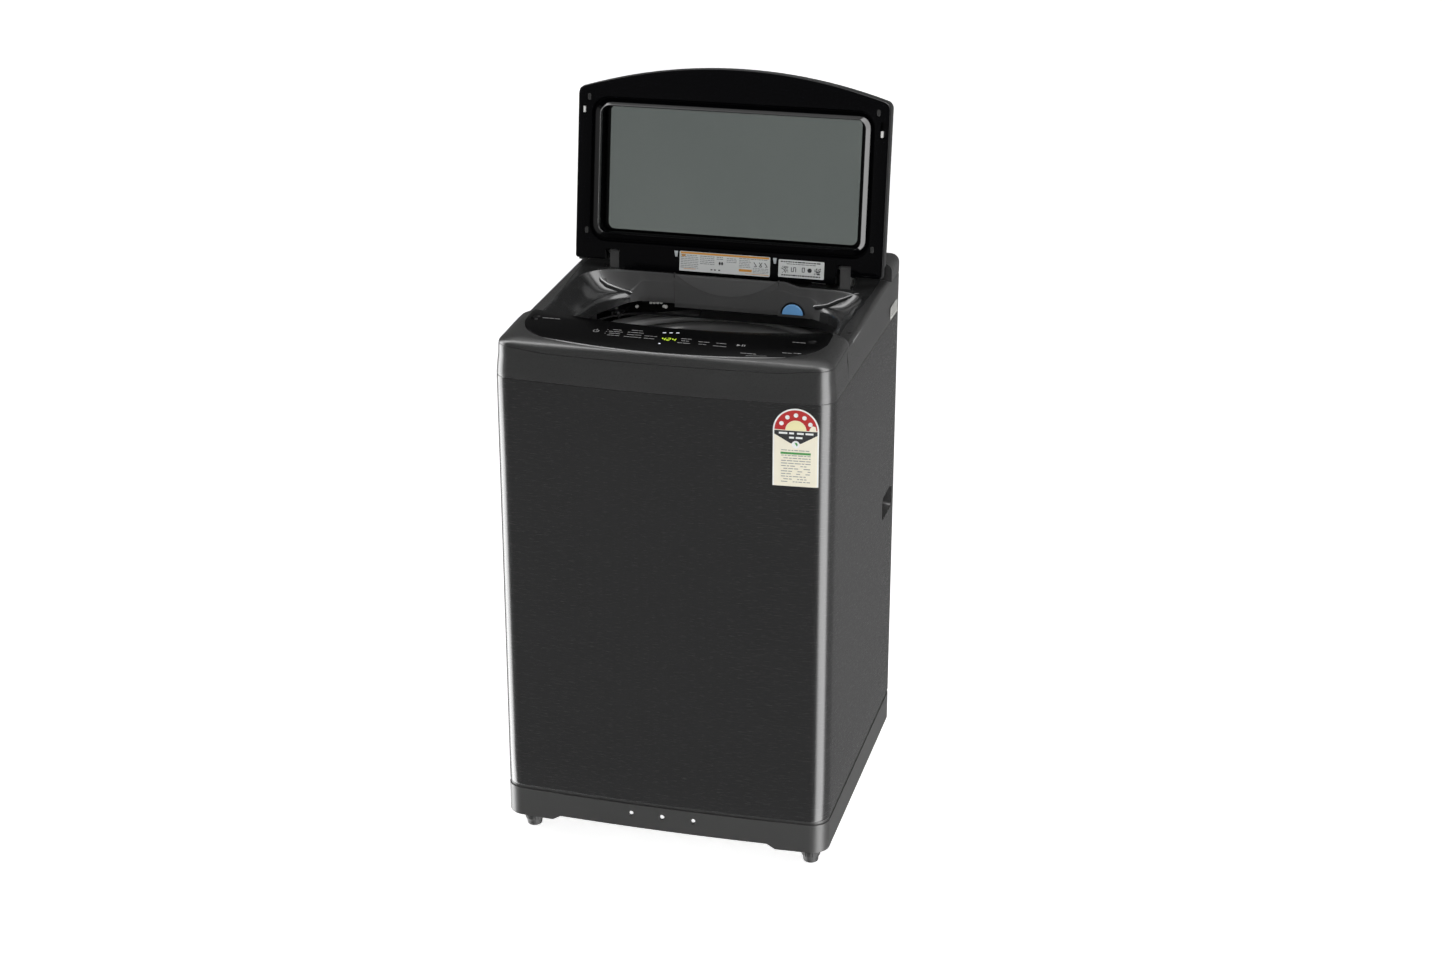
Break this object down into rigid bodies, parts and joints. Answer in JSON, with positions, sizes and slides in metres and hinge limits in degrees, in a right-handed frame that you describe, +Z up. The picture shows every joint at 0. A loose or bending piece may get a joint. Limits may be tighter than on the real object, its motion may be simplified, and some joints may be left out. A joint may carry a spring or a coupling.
{
  "type": "top load washing machine",
  "caption": "Upright top load washing machine with a tinted glass lid, front control strip, suspended tub, pulsator drum, dispenser drawer and levelling feet.",
  "frame": {"origin": "centre of the bounding box footprint, on the floor under the feet", "axes": "+X to the right seen from the front, +Y to the rear, +Z up"},
  "size_m": [0.59, 0.606, 1.3146],
  "materials": {
    "steel_painted": "satin dark graphite paint",
    "zinc_steel": "zinc coated sheet",
    "stainless": "brushed",
    "steel": "plated",
    "graphite_plastic": "fine satin",
    "base_plastic": "matt",
    "black_gloss": "high gloss",
    "deck_gloss": "gloss",
    "grey_plastic": "matt",
    "white_plastic": "matt",
    "blue_plastic": "translucent",
    "smoked_glass": "tinted",
    "rubber": "matt",
    "aluminium": "cast",
    "copper": "enamelled wire",
    "board": "matt",
    "paper": "printed film",
    "magnet": "sintered"
  },
  "bodies": {
    "cabinet": {"base": "base_plastic", "foot_lock_nuts": "steel", "rear_feet": "rubber", "cabinet": "steel_painted", "grip_cups": "graphite_plastic", "back_panel": "zinc_steel", "back_panel_screws": "steel", "top_cover": "graphite_plastic", "panel_facia": "black_gloss", "display_board": "board", "deck": "deck_gloss", "rear_cover": "graphite_plastic", "hinge_arms": "grey_plastic", "drawer_housing": "grey_plastic", "inlet_valves": "white_plastic", "main_board_case": "white_plastic", "lid_lock": "grey_plastic", "drain_spigot": "grey_plastic", "cord_gland": "rubber", "stickers": "paper", "suspension_brackets": "zinc_steel", "suspension_rods": "steel", "suspension_springs": "steel"},
    "lid": {"lid_outer_frame": "black_gloss", "lid_glass": "smoked_glass", "lid_inner_frame": "black_gloss", "lid_hinge_cover": "black_gloss", "lid_labels": "paper", "lid_bumpers": "rubber", "hinge_pins": "steel"},
    "drawer": {"detergent_drawer": "deck_gloss"},
    "flap": {"softener_flap": "blue_plastic"},
    "bolt": {"lock_bolt": "white_plastic"},
    "foot_left": {"front_foot_left": "rubber"},
    "foot_right": {"front_foot_right": "rubber"},
    "tub": {"tub": "grey_plastic", "tub_cover": "deck_gloss", "suspension_caps": "white_plastic", "bearing_housing": "aluminium", "bearings": "steel", "shaft_seal": "rubber", "stator": "steel", "stator_coils": "copper", "clutch_actuator": "white_plastic", "drain_pump": "white_plastic"},
    "drum": {"drum": "stainless", "balancer_ring": "grey_plastic", "drum_base": "grey_plastic", "drum_hub": "aluminium", "spin_shaft": "steel", "filter_track": "grey_plastic"},
    "filter": {"lint_filter": "blue_plastic"},
    "pulsator": {"pulsator": "grey_plastic", "pulsator_cap": "grey_plastic", "wash_shaft": "steel", "rotor": "zinc_steel", "rotor_magnets": "magnet"},
    "clutch": {"clutch_coupling": "steel"},
    "fork": {"clutch_fork": "white_plastic"},
    "impeller": {"pump_impeller": "white_plastic"}
  },
  "joints": [
    {"name": "lid_hinge", "type": "hinge", "parent": "cabinet", "child": "lid", "pos_m": [0, 0.1675, 0.971], "axis": [1, 0, 0], "range_deg": [0, 100]},
    {"name": "drawer_slide", "type": "slide", "parent": "cabinet", "child": "drawer", "axis": [0, -1, 0], "range_m": [0, 0.1]},
    {"name": "softener_flap_hinge", "type": "hinge", "parent": "cabinet", "child": "flap", "pos_m": [0.125, 0.137, 0.886], "axis": [1, 0, 0], "range_deg": [0, 60]},
    {"name": "lock_bolt_slide", "type": "slide", "parent": "cabinet", "child": "bolt", "axis": [0, 0, 1], "range_m": [0, 0.008]},
    {"name": "front_foot_left_turn", "type": "hinge", "parent": "cabinet", "child": "foot_left", "pos_m": [-0.258, -0.24, 0.03], "axis": [0, 0, 1], "continuous": true},
    {"name": "front_foot_right_turn", "type": "hinge", "parent": "cabinet", "child": "foot_right", "pos_m": [0.258, -0.24, 0.03], "axis": [0, 0, 1], "continuous": true},
    {"name": "tub_suspension", "type": "slide", "parent": "cabinet", "child": "tub", "axis": [0, 0, 1], "range_m": [-0.03, 0.008], "stiffness_N_per_m": 9000, "springref_m": 0.0339, "deforming": ["suspension_springs"]},
    {"name": "drum_spin", "type": "hinge", "parent": "tub", "child": "drum", "pos_m": [0, 0, 0.4], "axis": [0, 0, 1], "continuous": true},
    {"name": "pulsator_spin", "type": "hinge", "parent": "drum", "child": "pulsator", "pos_m": [0, 0, 0.2], "axis": [0, 0, 1], "continuous": true},
    {"name": "clutch_slide", "type": "slide", "parent": "drum", "child": "clutch", "axis": [0, 0, -1], "range_m": [0, 0.008]},
    {"name": "clutch_fork_slide", "type": "slide", "parent": "tub", "child": "fork", "axis": [0, 0, -1], "range_m": [0, 0.008]},
    {"name": "lint_filter_lift", "type": "slide", "parent": "drum", "child": "filter", "axis": [0, 0, 1], "range_m": [0, 0.12]},
    {"name": "impeller_spin", "type": "hinge", "parent": "tub", "child": "impeller", "pos_m": [-0.15, -0.13, 0.19], "axis": [0, 0, 1], "continuous": true}
  ],
  "couplings": [
    {"joint": "clutch_fork_slide", "follows": "clutch_slide", "ratio": 1}
  ]
}
